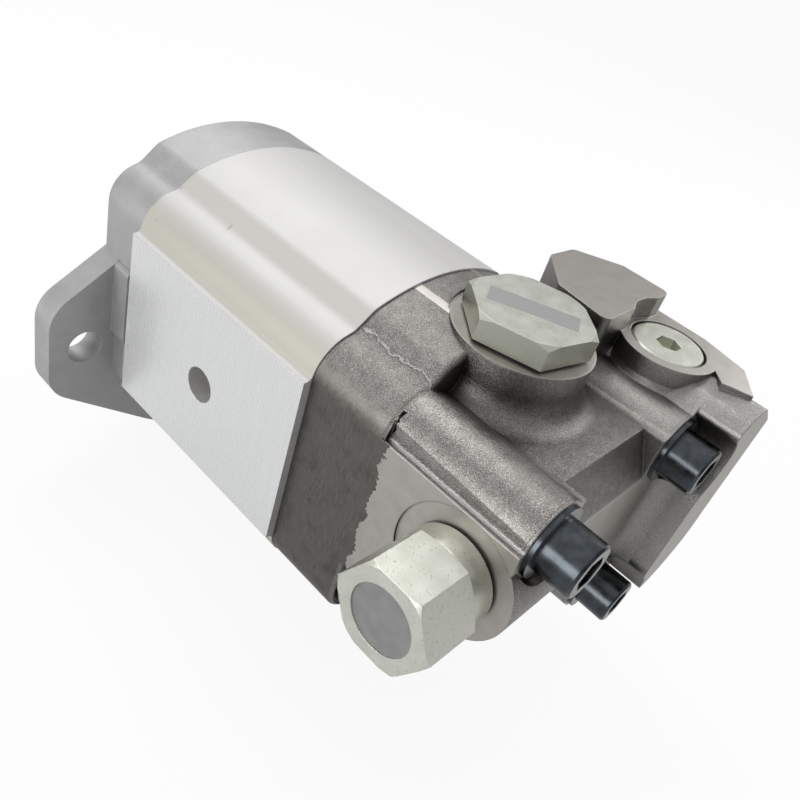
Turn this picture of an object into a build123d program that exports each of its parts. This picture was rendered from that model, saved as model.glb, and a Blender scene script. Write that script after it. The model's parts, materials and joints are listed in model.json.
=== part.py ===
from build123d import *
import math
import os

os.makedirs("parts", exist_ok=True)

# Frame: the drive shaft turns about Y. Y = 0 is the mounting face, the pump body lies behind it.
# Stations along the pump are depths behind the mounting face, on Plane.XZ.offset(depth).

# Gear pair
MODULE = 3.75
TEETH = 11
PRESSURE_ANGLE = math.radians(20)
PROFILE_SHIFT = 0.43
CENTRE_DISTANCE = 44.07
TIP_RADIUS = 25.55
GEAR_WIDTH = 44.9
JOURNAL_RADIUS = 12.5
SHAFT_BORE_RADIUS = JOURNAL_RADIUS + 1.0
RUNNING_GAP = 0.05
GEAR_BORE_RADIUS = 25.62
BLOCK_LENGTH = 24.0
DRIVEN_Z = CENTRE_DISTANCE
MID_Z = CENTRE_DISTANCE / 2

# Depth stations
FLANGE_THICKNESS = 11.0
FRONT_JOINT = 25.0
REAR_JOINT = FRONT_JOINT + 2 * BLOCK_LENGTH + GEAR_WIDTH + 2 * RUNNING_GAP
PLATE_REAR = REAR_JOINT + 31.0
BOLT_SEAT = REAR_JOINT + 81.2
RIGHT_END = REAR_JOINT + 96.6
COLUMN_FRONT = REAR_JOINT + 9.0
GEAR_MID = FRONT_JOINT + BLOCK_LENGTH + RUNNING_GAP + GEAR_WIDTH / 2

# Body outline across the shaft
BODY_HALF_WIDTH = 54.5
FLAT_HALF_HEIGHT = 34.1
DOME_HEIGHT = 61.2
DOME_RADIUS = 77.5
DOME_END_X = 31.5
DIP_X = 38.5
DIP_RADIUS = 7.0
SHOULDER_RADIUS = 15.0
BARREL_HALF_WIDTH = 50.1
BARREL_SHOULDER_RADIUS = 14.3
BARREL_SHOULDER_X = BARREL_HALF_WIDTH - BARREL_SHOULDER_RADIUS
LIP_GROOVE = 2.2

# Body bolts, M12 socket heads
BOLT_X = 36.75
BOLT_DZ = 33.5
BOLT_HIGH = MID_Z + BOLT_DZ
BOLT_LOW = MID_Z - BOLT_DZ
BOLT_RADIUS = 6.0
BOLT_CLEARANCE = 6.6
HEAD_RADIUS = 9.0
HEAD_HEIGHT = 12.0
HEAD_SOCKET = 10.0
WASHER_RADIUS = 12.0
WASHER_THICKNESS = 1.6
THREAD_END = 7.0
THREAD_DEPTH = 20.0
SOCKET_DEPTH = 6.0

# Mounting flange, pilot and shaft end
FLANGE_HOLE_X = 62.5
FLANGE_HOLE_RADIUS = 7.0
FLANGE_HALF_LENGTH = 77.0
FLANGE_CIRCLE = 58.5
LUG_CORNER = 15.0
LUG_CORNER_Z = 10.3
CAST_EDGE = 1.8
SIDE_PAD_THICKNESS = 4.0
SIDE_PAD_HEIGHT = 32.0
SIDE_PAD_LENGTH = 9.0
PILOT_RADIUS = 50.0
PILOT_LENGTH = 9.0
SHAFT_RADIUS = 11.0
SHAFT_END = 46.0
KEY_WIDTH = 6.0
KEY_LENGTH = 26.0
KEY_START = 15.0
KEY_FLOOR = SHAFT_RADIUS - 3.5
SEAL_SEAT_RADIUS = 20.0
SEAL_BACK = 3.0
SEAL_FRONT = 4.0
RING_THICKNESS = 1.5
RING_GROOVE_RADIUS = 21.2

# Joint-face seals and dowels
SEAL_INNER = 28.9
SEAL_OUTER = 31.2
SEAL_DEPTH = 1.8
DOWEL_X = 44.0
DOWEL_RADIUS = 3.0
DOWEL_HALF = 7.0

# Housing ports
INLET_RADIUS = 16.0
INLET_INNER_RADIUS = 14.0
INLET_DEPTH = 27.5
INLET_FLOOR_X = 12.0
INLET_BOLT_Y = 58.7
INLET_BOLT_Z = 30.2
INLET_BOLT_RADIUS = 5.0
INLET_BOLT_DEPTH = 16.0
GAUGE_RADIUS = 6.58
GAUGE_DEPTH = 13.0
GAUGE_DRILL_RADIUS = 2.5
PASSAGE_X = -19.0
PASSAGE_RADIUS = 5.0

# Rear cover: plate, deck between the ribs, valve column with its end rim
LEFT_FACE = -51.4
RIGHT_FACE = 73.5
DECK_Z = 64.0
LEDGE_Z = 57.0
FLOOR_Z = 11.0
FLOOR_LEFT_Z = 17.3
FLOOR_FLAT_X = -10.0
BLOCK_RIGHT = 30.0
PLATE_INSET = 0.7
PLATE_EDGE = 2.0
RIB_RADIUS = 13.1
RIB_ROOT_RADIUS = 14.2
RIB_VALLEY = 7.0
RIB_FLANK_X = 49.2
WEB_WIDTH = 20.0
ROOT_OVERLAP = 5.0
SLOPE_START = REAR_JOINT + 73.5
SLOPE_END_Z = 48.0
SLOPE_FOOT = 6.0
LOBE_X = 51.3
LOBE_Z = 12.5
LOBE_RADIUS = 22.9
SCOOP_X = 42.0
SCOOP_RADIUS = 13.4
SCOOP_BLEND = 8.0
SPOTFACE = 0.8
SHORT_SEAT = PLATE_REAR - 0.5

# Rear cover: spool plug boss, side port boss, raised block and valve boss
PLUG_DEPTH = REAR_JOINT + 33.0
PLUG_SEAT = 81.2
PLUG_BOSS_RADIUS = 23.6
PLUG_BLEND = 8.0
SPOOL_BOSS_RADIUS = 15.0
SPOOL_BOSS_FLOOR = 5.0
SIDE_PORT_DEPTH = REAR_JOINT + 65.5
SIDE_PORT_Z = 35.4
SIDE_BOSS_RADIUS = 21.0
SIDE_BOSS_LENGTH = 34.0
SIDE_TRIM = 12.0
BLOCK_TOP = 86.0
BLOCK_HEIGHT = 36.0
PAD_TOP = 78.0
PAD_THICKNESS = 12.0
VALVE_X = 55.0
VALVE_DEPTH = REAR_JOINT + 58.7
VALVE_BOSS_RADIUS = 17.6
VALVE_BOSS_HEIGHT = 40.0
VALVE_SKIRT_RADIUS = 21.5
VALVE_SKIRT_Z = 66.5
SPOTFACE_RADIUS = 15.7

# Rear cover: spool bore, relief bore, ports and drillings
SPOOL_RADIUS = 9.0
SPOOL_FLOOR = 13.0
SPOOL_TOP = 64.0
PLUG_THREAD = 15.0
RELIEF_RECESS_RADIUS = 13.6
RELIEF_RECESS_DEPTH = 4.0
RELIEF_THREAD = 10.5
RELIEF_THREAD_FLOOR = 60.0
RELIEF_BORE_RADIUS = 8.0
RELIEF_BORE_FLOOR = 20.0
RELIEF_FEED_RADIUS = 4.2
RELIEF_DRILL_Z = 17.0
RELIEF_CROSS_RADIUS = 2.8
RELIEF_LONG_RADIUS = 3.4
SIDE_THREAD = 10.5
SIDE_THREAD_DEPTH = 15.0
SIDE_DRILL_RADIUS = 6.0
OUTLET_DEPTH = REAR_JOINT + 34.0
OUTLET_Z = 52.5
OUTLET_THREAD = 16.0
OUTLET_RADIUS = 10.5
OUTLET_DRILL_Z = 41.0
OUTLET_DRILL_RADIUS = 5.5
OUTLET_DRILL_START = 4.0
PRESSURE_DRILL_RADIUS = 4.0

BOLT_PLACES = [(-BOLT_X, BOLT_HIGH), (BOLT_X, BOLT_HIGH), (BOLT_X, BOLT_LOW), (-BOLT_X, BOLT_LOW)]
LONG_BOLT_PLACES = BOLT_PLACES[:3]
SHORT_BOLT_PLACE = BOLT_PLACES[3]
GEAR_AXES = [(0, 0), (0, DRIVEN_Z)]
DOWEL_PLACES = [(-DOWEL_X, MID_Z), (DOWEL_X, MID_Z)]


def station(depth):
    """Plane across the shaft at a depth behind the mounting face, facing the rear."""
    return Plane.XZ.offset(depth)


def save(piece, name):
    """Label a finished piece and write it as its own STEP file."""
    piece.label = name
    export_step(piece, f"parts/{name}.step")


def involute(angle):
    return math.tan(angle) - angle


def flank_point(radius, side):
    """Point of the tooth flank at a radius, for a tooth that points along +Y of its sketch."""
    pitch_radius = MODULE * TEETH / 2
    base_radius = pitch_radius * math.cos(PRESSURE_ANGLE)
    half = math.pi / (2 * TEETH) + 2 * PROFILE_SHIFT * math.tan(PRESSURE_ANGLE) / TEETH
    turn = half + involute(PRESSURE_ANGLE) - involute(math.acos(base_radius / radius))
    return (side * radius * math.sin(turn), radius * math.cos(turn))


def body_outline(half_width, flat_half_height, shoulder_x, shoulder_radius):
    """Section of the body: two flats, four bolt shoulders, and domes with soft dips beside them."""
    dome_drop = DOME_RADIUS - DOME_HEIGHT
    dome_end = math.sqrt(DOME_RADIUS**2 - DOME_END_X**2) - dome_drop
    dip = BOLT_DZ + math.sqrt(shoulder_radius**2 - (DIP_X - shoulder_x) ** 2)
    steep = (dome_end - dip) / (DIP_X - DOME_END_X)
    reach = shoulder_x + math.sqrt(shoulder_radius**2 - (flat_half_height - BOLT_DZ) ** 2)
    with BuildSketch() as outline:
        with Locations((0, MID_Z - dome_drop)):
            Circle(DOME_RADIUS)
        with Locations((0, MID_Z + dome_drop)):
            Circle(DOME_RADIUS, mode=Mode.INTERSECT)
        with BuildLine():
            crown = (DOME_END_X / 2, dome_end + steep * DOME_END_X / 2)
            corners = [crown, (DIP_X, dip), (DIP_X, -dip), (crown[0], -crown[1])]
            corners += [(-x, z) for x, z in reversed(corners)]
            Polyline(*[(x, MID_Z + z) for x, z in corners], close=True)
        make_face(mode=Mode.INTERSECT)
        with Locations([(sx * shoulder_x, MID_Z + sz * BOLT_DZ) for sx in (-1, 1) for sz in (-1, 1)]):
            Circle(shoulder_radius)
        with Locations((0, MID_Z)):
            Rectangle(2 * half_width, 2 * flat_half_height)
        for sx in (-1, 1):
            for sz in (-1, 1):
                for bend in ((sx * DOME_END_X, MID_Z + sz * dome_end), (sx * DIP_X, MID_Z + sz * dip)):
                    fillet(outline.vertices().sort_by_distance(bend)[0], DIP_RADIUS)
                if half_width - reach > LIP_GROOVE / 2:
                    lip = (sx * reach, MID_Z + sz * flat_half_height)
                    fillet(outline.vertices().sort_by_distance(lip)[0], LIP_GROOVE)
    return outline.sketch


housing_section = body_outline(BODY_HALF_WIDTH, FLAT_HALF_HEIGHT, BOLT_X, SHOULDER_RADIUS)
barrel_section = body_outline(BARREL_HALF_WIDTH, BOLT_DZ, BARREL_SHOULDER_X, BARREL_SHOULDER_RADIUS)

# Racetrack of the seals in the two joint faces
with BuildSketch() as seal_track:
    with Locations((0, MID_Z)):
        SlotCenterToCenter(CENTRE_DISTANCE, 2 * SEAL_OUTER, rotation=90)
        SlotCenterToCenter(CENTRE_DISTANCE, 2 * SEAL_INNER, rotation=90, mode=Mode.SUBTRACT)

# Section of one gear: root disc and eleven involute teeth
ROOT_RADIUS = MODULE * TEETH / 2 - MODULE * (1.25 - PROFILE_SHIFT)
BASE_RADIUS = MODULE * TEETH / 2 * math.cos(PRESSURE_ANGLE)
with BuildSketch() as tooth:
    flank_radii = [BASE_RADIUS + (TIP_RADIUS - BASE_RADIUS) * step / 4 for step in range(5)]
    right_flank = [flank_point(radius, 1) for radius in flank_radii]
    left_flank = [flank_point(radius, -1) for radius in flank_radii]
    inner = (ROOT_RADIUS - 1) / BASE_RADIUS
    right_foot = (right_flank[0][0] * inner, right_flank[0][1] * inner)
    left_foot = (left_flank[0][0] * inner, left_flank[0][1] * inner)
    with BuildLine():
        Line(right_foot, right_flank[0])
        Spline(*right_flank)
        ThreePointArc(right_flank[-1], (0, TIP_RADIUS), left_flank[-1])
        Spline(*reversed(left_flank))
        Line(left_flank[0], left_foot)
        Line(left_foot, right_foot)
    make_face()
with BuildSketch() as gear_section:
    Circle(ROOT_RADIUS)
    with PolarLocations(0, TEETH):
        add(tooth.sketch)
    root_corners = [v for v in gear_section.vertices() if abs(math.hypot(v.X, v.Y) - ROOT_RADIUS) < 0.05]
    fillet(root_corners, 0.8)

# Front cover: barrel, two-bolt flange and pilot in one die casting
with BuildPart() as front_cover:
    with BuildSketch(station(0)):
        add(barrel_section)
    extrude(amount=FRONT_JOINT)
    fillet(front_cover.faces().sort_by(Axis.Y)[-1].edges(), CAST_EDGE)
    with BuildSketch(station(0)) as flange:
        Circle(FLANGE_CIRCLE)
        lug_centre = FLANGE_HALF_LENGTH - LUG_CORNER
        with Locations([(sx * lug_centre, sz * LUG_CORNER_Z) for sx in (-1, 1) for sz in (-1, 1)]):
            Circle(LUG_CORNER)
        make_hull()
    extrude(amount=FLANGE_THICKNESS)
    with BuildSketch(station(0)):
        Circle(PILOT_RADIUS)
    extrude(amount=-PILOT_LENGTH)
    with BuildSketch(station(FLANGE_THICKNESS)):
        with Locations((-BARREL_HALF_WIDTH, MID_Z - 2), (BARREL_HALF_WIDTH, MID_Z - 2)):
            RectangleRounded(SIDE_PAD_THICKNESS, SIDE_PAD_HEIGHT, SIDE_PAD_THICKNESS / 2 - 0.1)
    extrude(amount=SIDE_PAD_LENGTH)
    with BuildSketch(station(-PILOT_LENGTH)):
        Circle(SEAL_SEAT_RADIUS)
    extrude(amount=PILOT_LENGTH + SEAL_BACK, mode=Mode.SUBTRACT)
    with BuildSketch(station(-SEAL_FRONT - RING_THICKNESS)):
        Circle(RING_GROOVE_RADIUS)
    extrude(amount=RING_THICKNESS, mode=Mode.SUBTRACT)
    with BuildSketch(station(0)):
        Circle(SHAFT_BORE_RADIUS)
        with Locations((-FLANGE_HOLE_X, 0), (FLANGE_HOLE_X, 0)):
            Circle(FLANGE_HOLE_RADIUS)
    extrude(amount=FRONT_JOINT, mode=Mode.SUBTRACT)
    with BuildSketch(station(FRONT_JOINT)):
        add(seal_track.sketch)
    extrude(amount=-SEAL_DEPTH, mode=Mode.SUBTRACT)
    with BuildSketch(station(FRONT_JOINT)):
        with Locations(*BOLT_PLACES):
            Circle(BOLT_RADIUS + RUNNING_GAP)
    extrude(amount=-THREAD_DEPTH, mode=Mode.SUBTRACT)
    with BuildSketch(station(FRONT_JOINT)):
        with Locations(*DOWEL_PLACES):
            Circle(DOWEL_RADIUS)
    extrude(amount=-DOWEL_HALF, mode=Mode.SUBTRACT)
save(front_cover.part, "front_cover")

# Gear housing: extruded section with the figure-eight gear chamber and its ports
with BuildPart() as gear_housing:
    with BuildSketch(station(FRONT_JOINT)):
        add(housing_section)
        with Locations(*GEAR_AXES):
            Circle(GEAR_BORE_RADIUS, mode=Mode.SUBTRACT)
        with Locations(*BOLT_PLACES):
            Circle(BOLT_CLEARANCE, mode=Mode.SUBTRACT)
    extrude(amount=REAR_JOINT - FRONT_JOINT)
    with BuildSketch(station(GEAR_MID)):
        with Locations((PASSAGE_X, MID_Z)):
            Circle(PASSAGE_RADIUS)
    extrude(amount=REAR_JOINT - GEAR_MID, mode=Mode.SUBTRACT)
    for joint_depth, inward in ((FRONT_JOINT, 1), (REAR_JOINT, -1)):
        with BuildSketch(station(joint_depth)):
            with Locations(*DOWEL_PLACES):
                Circle(DOWEL_RADIUS)
        extrude(amount=inward * DOWEL_HALF, mode=Mode.SUBTRACT)
    with BuildSketch(Plane.YZ.offset(BODY_HALF_WIDTH)):
        with Locations((-GEAR_MID, MID_Z)):
            Circle(INLET_RADIUS)
    extrude(amount=-INLET_DEPTH, mode=Mode.SUBTRACT)
    with BuildSketch(Plane.YZ.offset(BODY_HALF_WIDTH)):
        with Locations((-GEAR_MID, MID_Z)):
            Circle(INLET_INNER_RADIUS)
    extrude(amount=INLET_FLOOR_X - BODY_HALF_WIDTH, mode=Mode.SUBTRACT)
    with BuildSketch(Plane.YZ.offset(BODY_HALF_WIDTH)):
        with Locations((-GEAR_MID, MID_Z)):
            with GridLocations(INLET_BOLT_Y, INLET_BOLT_Z, 2, 2):
                Circle(INLET_BOLT_RADIUS)
    extrude(amount=-INLET_BOLT_DEPTH, mode=Mode.SUBTRACT)
    with BuildSketch(Plane.YZ.offset(-BODY_HALF_WIDTH)):
        with Locations((-GEAR_MID, MID_Z)):
            Circle(GAUGE_RADIUS)
    extrude(amount=GAUGE_DEPTH, mode=Mode.SUBTRACT)
    with BuildSketch(Plane.YZ.offset(-BODY_HALF_WIDTH)):
        with Locations((-GEAR_MID, MID_Z)):
            Circle(GAUGE_DRILL_RADIUS)
    extrude(amount=BODY_HALF_WIDTH + PASSAGE_X, mode=Mode.SUBTRACT)
save(gear_housing.part, "gear_housing")

# Rear cover sections across the shaft: plate, deck with its ribs, valve column and end rim
with BuildSketch() as plate_section:
    plate_reach = PLATE_INSET - LEFT_FACE
    add(body_outline(plate_reach, BOLT_DZ, plate_reach - SHOULDER_RADIUS, SHOULDER_RADIUS))
    offset(amount=-PLATE_INSET)

with BuildSketch() as deck_section:
    with BuildLine():
        Polyline(
            (LEFT_FACE, LEDGE_Z), (LEFT_FACE, FLOOR_LEFT_Z), (FLOOR_FLAT_X, FLOOR_Z), (BLOCK_RIGHT, FLOOR_Z),
            (BLOCK_RIGHT, DECK_Z), (-BLOCK_RIGHT, DECK_Z), (-BLOCK_RIGHT, LEDGE_Z), close=True,
        )
    make_face()
    with Locations((-BOLT_X, BOLT_HIGH), (BOLT_X, BOLT_HIGH)):
        Circle(RIB_RADIUS)
    rib_reach = math.sqrt(RIB_RADIUS**2 - (DECK_Z - BOLT_HIGH) ** 2)
    for side in (-1, 1):
        valley = (side * (BOLT_X - rib_reach), DECK_Z)
        fillet(deck_section.vertices().sort_by_distance(valley)[0], RIB_VALLEY)

COLUMN_TOP = (56, 77)
COLUMN_SHOULDER = (46.5, 74.3)
RIGHT_HIGH = (RIGHT_FACE, 65.4)
with BuildSketch() as column_section:
    with BuildLine():
        Polyline(
            (38, 67), COLUMN_SHOULDER, COLUMN_TOP, RIGHT_HIGH, (RIGHT_FACE, LOBE_Z + 3), (36, LOBE_Z + 3),
            (34, 45.7), close=True,
        )
    make_face()
    for corner, radius in ((COLUMN_TOP, 5), (COLUMN_SHOULDER, 6), (RIGHT_HIGH, 3)):
        fillet(column_section.vertices().sort_by_distance(corner)[0], radius)
    with Locations((LOBE_X, LOBE_Z)):
        Circle(LOBE_RADIUS)

with BuildSketch() as end_section:
    add(column_section.sketch)
    with Locations((BOLT_X, BOLT_HIGH), (BOLT_X, BOLT_LOW)):
        Circle(SCOOP_RADIUS, mode=Mode.SUBTRACT)
    with Locations((0, MID_Z)):
        Rectangle(2 * SCOOP_X, 2 * BOLT_DZ, mode=Mode.SUBTRACT)
    cusp_dz = math.sqrt(SCOOP_RADIUS**2 - (SCOOP_X - BOLT_X) ** 2)
    for cusp_z in (BOLT_HIGH - cusp_dz, BOLT_LOW + cusp_dz):
        fillet(end_section.vertices().sort_by_distance((SCOOP_X, cusp_z))[0], SCOOP_BLEND)
    fillet(end_section.vertices().sort_by_distance((BOLT_X + 3, BOLT_HIGH + SCOOP_RADIUS))[0], 2.5)

# Outline of the raised block, and of the valve pad behind it, seen from above
BLOCK_OUTLINE = [
    (27.5, -REAR_JOINT - 45.5), (30.5, -REAR_JOINT - 23.5), (46.5, -REAR_JOINT - 8.7),
    (61.2, -REAR_JOINT - 9.3), (72.2, -REAR_JOINT - 25.4), (72.7, -REAR_JOINT - 45.5),
]
PAD_OUTLINE = [
    (VALVE_X, -REAR_JOINT - 44), (RIGHT_FACE, -REAR_JOINT - 44), (RIGHT_FACE, -REAR_JOINT - 64.5),
    (69, -REAR_JOINT - 82), (55.5, -REAR_JOINT - 91), (51.5, -REAR_JOINT - 81), (58, -REAR_JOINT - 75),
]

# Rear cover: sand-cast iron block that carries the priority and relief valves
with BuildPart() as rear_cover:
    with BuildSketch(station(REAR_JOINT)):
        add(plate_section.sketch)
    extrude(amount=PLATE_REAR - REAR_JOINT)
    fillet(rear_cover.faces().sort_by(Axis.Y)[0].edges(), PLATE_EDGE)
    with BuildSketch(station(PLATE_REAR - ROOT_OVERLAP)):
        add(deck_section.sketch)
    extrude(amount=BOLT_SEAT - PLATE_REAR + ROOT_OVERLAP)
    with BuildSketch(station(PLATE_REAR - ROOT_OVERLAP)):
        with Locations((BOLT_X, BOLT_LOW)):
            Circle(RIB_RADIUS)
        with Locations((BOLT_X, MID_Z)):
            Rectangle(WEB_WIDTH, 2 * BOLT_DZ)
    extrude(amount=BOLT_SEAT - PLATE_REAR + ROOT_OVERLAP)
    # ribs swell towards the plate
    with Locations(station(PLATE_REAR - ROOT_OVERLAP)):
        with Locations((-BOLT_X, BOLT_HIGH), (BOLT_X, BOLT_HIGH), (BOLT_X, BOLT_LOW)):
            rib_length = BOLT_SEAT - PLATE_REAR + ROOT_OVERLAP - 1
            from_root = (Align.CENTER, Align.CENTER, Align.MIN)
            Cone(RIB_ROOT_RADIUS, RIB_RADIUS + 0.1, rib_length, align=from_root)
    # ledge along the left side, under the flattened flank of the rib
    with BuildSketch(station(PLATE_REAR)) as ledge_cut:
        with BuildLine():
            Polyline(
                (LEFT_FACE - 2, LEDGE_Z), (-RIB_FLANK_X, LEDGE_Z), (-RIB_FLANK_X + 0.8, LEDGE_Z + 12),
                (LEFT_FACE - 2, LEDGE_Z + 12), close=True,
            )
        make_face()
        fillet(ledge_cut.vertices().sort_by_distance((-RIB_FLANK_X, LEDGE_Z))[0], 1.2)
    extrude(amount=BOLT_SEAT - PLATE_REAR, mode=Mode.SUBTRACT)
    # cast web under the left side of the block, from the plate
    with BuildSketch(Plane.YZ.offset(LEFT_FACE)):
        with BuildLine():
            Polyline(
                (-PLATE_REAR + 2, FLOOR_LEFT_Z + 3), (-PLATE_REAR + 2, 4), (-PLATE_REAR - 4, 4),
                (-PLATE_REAR - 19, FLOOR_LEFT_Z), (-PLATE_REAR - 19, FLOOR_LEFT_Z + 3), close=True,
            )
        make_face()
    extrude(amount=24)
    # valve column with its end rim, and the concave foot of the scoop between the bolts
    with BuildSketch(station(COLUMN_FRONT)):
        add(column_section.sketch)
    extrude(amount=BOLT_SEAT - COLUMN_FRONT)
    with BuildSketch(station(BOLT_SEAT)):
        add(end_section.sketch)
    extrude(amount=RIGHT_END - BOLT_SEAT)
    with BuildSketch(Plane.XY.offset(BOLT_LOW + SCOOP_RADIUS)):
        with BuildLine():
            foot_start = (SCOOP_X - SCOOP_BLEND, -BOLT_SEAT)
            foot_end = (SCOOP_X, -BOLT_SEAT - SCOOP_BLEND)
            RadiusArc(foot_start, foot_end, SCOOP_BLEND)
            Polyline(foot_end, (SCOOP_X + 2, foot_end[1]), (SCOOP_X + 2, -BOLT_SEAT + 2))
            Polyline((SCOOP_X + 2, -BOLT_SEAT + 2), (foot_start[0], -BOLT_SEAT + 2), foot_start)
        make_face()
    extrude(amount=2 * (BOLT_DZ - SCOOP_RADIUS))
    # slope between the ribs down to the left end face, rounded at its foot
    with BuildSketch(Plane.YZ.offset(-BOLT_X + RIB_RADIUS)) as slope:
        with BuildLine():
            Polyline(
                (-SLOPE_START, DECK_Z), (-BOLT_SEAT, SLOPE_END_Z), (-BOLT_SEAT, SLOPE_END_Z - 8),
                (-BOLT_SEAT - 5, SLOPE_END_Z - 8), (-BOLT_SEAT - 5, DECK_Z + 5), (-SLOPE_START, DECK_Z + 5),
                close=True,
            )
        make_face()
        fillet(slope.vertices().sort_by_distance((-BOLT_SEAT, SLOPE_END_Z))[0], SLOPE_FOOT)
    extrude(amount=2 * (BOLT_X - RIB_RADIUS), mode=Mode.SUBTRACT)
    # boss of the spool plug, with its cast blend onto the deck
    with BuildSketch(Plane.XZ.offset(PLUG_DEPTH)):
        with BuildLine():
            blend_top = (PLUG_BOSS_RADIUS, DECK_Z + PLUG_BLEND)
            blend_foot = (PLUG_BOSS_RADIUS + PLUG_BLEND, DECK_Z)
            Polyline((0, 20), (0, PLUG_SEAT), (PLUG_BOSS_RADIUS, PLUG_SEAT), blend_top)
            RadiusArc(blend_top, blend_foot, -PLUG_BLEND)
            Polyline(blend_foot, (blend_foot[0], 50), (16, 40), (16, 20), (0, 20))
        make_face()
    revolve(axis=Axis((0, -PLUG_DEPTH, 0), (0, 0, 1)))
    with BuildSketch(Plane.XY.offset(PLUG_SEAT)):
        with Locations((0, -PLUG_DEPTH)):
            Circle(PLUG_BOSS_RADIUS + 0.6)
    extrude(amount=10, mode=Mode.SUBTRACT)
    with BuildSketch(Plane.XY.offset(SPOOL_BOSS_FLOOR)):
        with Locations((0, -PLUG_DEPTH)):
            Circle(SPOOL_BOSS_RADIUS)
    extrude(amount=2 * FLOOR_Z)
    # boss of the side port, round where the corner of the block ends
    with BuildSketch(Plane.YZ.offset(LEFT_FACE)):
        with Locations((-SIDE_PORT_DEPTH, SIDE_PORT_Z)):
            Circle(SIDE_BOSS_RADIUS)
    extrude(amount=SIDE_BOSS_LENGTH)
    with BuildSketch(Plane.YZ.offset(LEFT_FACE)):
        with Locations((-SIDE_PORT_DEPTH - SIDE_BOSS_RADIUS, SIDE_PORT_Z - SIDE_BOSS_RADIUS)):
            Rectangle(2 * SIDE_BOSS_RADIUS, 2 * SIDE_BOSS_RADIUS)
        with Locations((-SIDE_PORT_DEPTH, SIDE_PORT_Z)):
            Circle(SIDE_BOSS_RADIUS, mode=Mode.SUBTRACT)
    extrude(amount=SIDE_TRIM, mode=Mode.SUBTRACT)
    # raised block and valve pad, milled flat on top, and the skirted boss of the valve
    with BuildSketch(Plane.XY.offset(BLOCK_TOP)) as block_top:
        with BuildLine():
            Polyline(*BLOCK_OUTLINE, close=True)
        make_face()
        fillet(block_top.vertices(), 3)
    extrude(amount=-BLOCK_HEIGHT)
    with BuildSketch(Plane.XY.offset(PAD_TOP)):
        with Locations((VALVE_X, -VALVE_DEPTH)):
            Circle(VALVE_BOSS_RADIUS)
    extrude(amount=-VALVE_BOSS_HEIGHT)
    with BuildSketch(Plane.XZ.offset(VALVE_DEPTH)):
        with BuildLine():
            skirt_top = (VALVE_X + VALVE_BOSS_RADIUS - 0.1, PAD_TOP - 4)
            skirt_foot = (VALVE_X + VALVE_SKIRT_RADIUS, VALVE_SKIRT_Z)
            RadiusArc(skirt_top, skirt_foot, -7)
            Polyline(skirt_foot, (skirt_foot[0], 50), (VALVE_X, 50), (VALVE_X, skirt_top[1]), skirt_top)
        make_face()
    revolve(axis=Axis((VALVE_X, -VALVE_DEPTH, 0), (0, 0, 1)))
    with BuildSketch(Plane.YZ.offset(RIGHT_FACE)):
        with Locations((-VALVE_DEPTH, DECK_Z)):
            Rectangle(60, 60)
    extrude(amount=20, mode=Mode.SUBTRACT)
    with BuildSketch(Plane.XY.offset(PAD_TOP)):
        with BuildLine():
            Polyline(*PAD_OUTLINE, close=True)
        make_face()
    extrude(amount=-PAD_THICKNESS)
    # spool bore and plug thread, then the relief bore under its recess and spotface
    with Locations((0, -PLUG_DEPTH, PLUG_SEAT)):
        Hole(PLUG_THREAD, PLUG_SEAT - SPOOL_TOP)
        Hole(SPOOL_RADIUS, PLUG_SEAT - SPOOL_FLOOR)
    with Locations((VALVE_X, -VALVE_DEPTH, BLOCK_TOP)):
        Hole(SPOTFACE_RADIUS, BLOCK_TOP - PAD_TOP)
    with Locations((VALVE_X, -VALVE_DEPTH, PAD_TOP)):
        Hole(RELIEF_RECESS_RADIUS, RELIEF_RECESS_DEPTH)
        Hole(RELIEF_THREAD, PAD_TOP - RELIEF_THREAD_FLOOR)
        Hole(RELIEF_BORE_RADIUS, PAD_TOP - RELIEF_BORE_FLOOR)
        Hole(RELIEF_FEED_RADIUS, PAD_TOP - RELIEF_DRILL_Z + RELIEF_FEED_RADIUS)
    # side port with its spotface and the drilling to the spool bore
    with BuildSketch(Plane.YZ.offset(LEFT_FACE)):
        with Locations((-SIDE_PORT_DEPTH, SIDE_PORT_Z)):
            Circle(SIDE_BOSS_RADIUS)
    extrude(amount=SPOTFACE, mode=Mode.SUBTRACT)
    with BuildSketch(Plane.YZ.offset(LEFT_FACE)):
        with Locations((-SIDE_PORT_DEPTH, SIDE_PORT_Z)):
            Circle(SIDE_THREAD)
    extrude(amount=SIDE_THREAD_DEPTH, mode=Mode.SUBTRACT)
    with BuildSketch(Plane.YZ.offset(LEFT_FACE)):
        with Locations((-SIDE_PORT_DEPTH, SIDE_PORT_Z)):
            Circle(SIDE_DRILL_RADIUS)
    extrude(amount=-LEFT_FACE, mode=Mode.SUBTRACT)
    with BuildSketch(station(PLUG_DEPTH)):
        with Locations((0, SIDE_PORT_Z)):
            Circle(SIDE_DRILL_RADIUS)
    extrude(amount=SIDE_PORT_DEPTH - PLUG_DEPTH, mode=Mode.SUBTRACT)
    # outlet port on the right side and its drilling
    with BuildSketch(Plane.YZ.offset(RIGHT_FACE)):
        with Locations((-OUTLET_DEPTH, OUTLET_Z)):
            Circle(OUTLET_RADIUS)
    extrude(amount=-OUTLET_THREAD, mode=Mode.SUBTRACT)
    outlet_drill_x = RIGHT_FACE - OUTLET_THREAD + OUTLET_DRILL_START
    with BuildSketch(Plane.YZ.offset(outlet_drill_x)):
        with Locations((-OUTLET_DEPTH, OUTLET_DRILL_Z)):
            Circle(OUTLET_DRILL_RADIUS)
    extrude(amount=-outlet_drill_x, mode=Mode.SUBTRACT)
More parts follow.
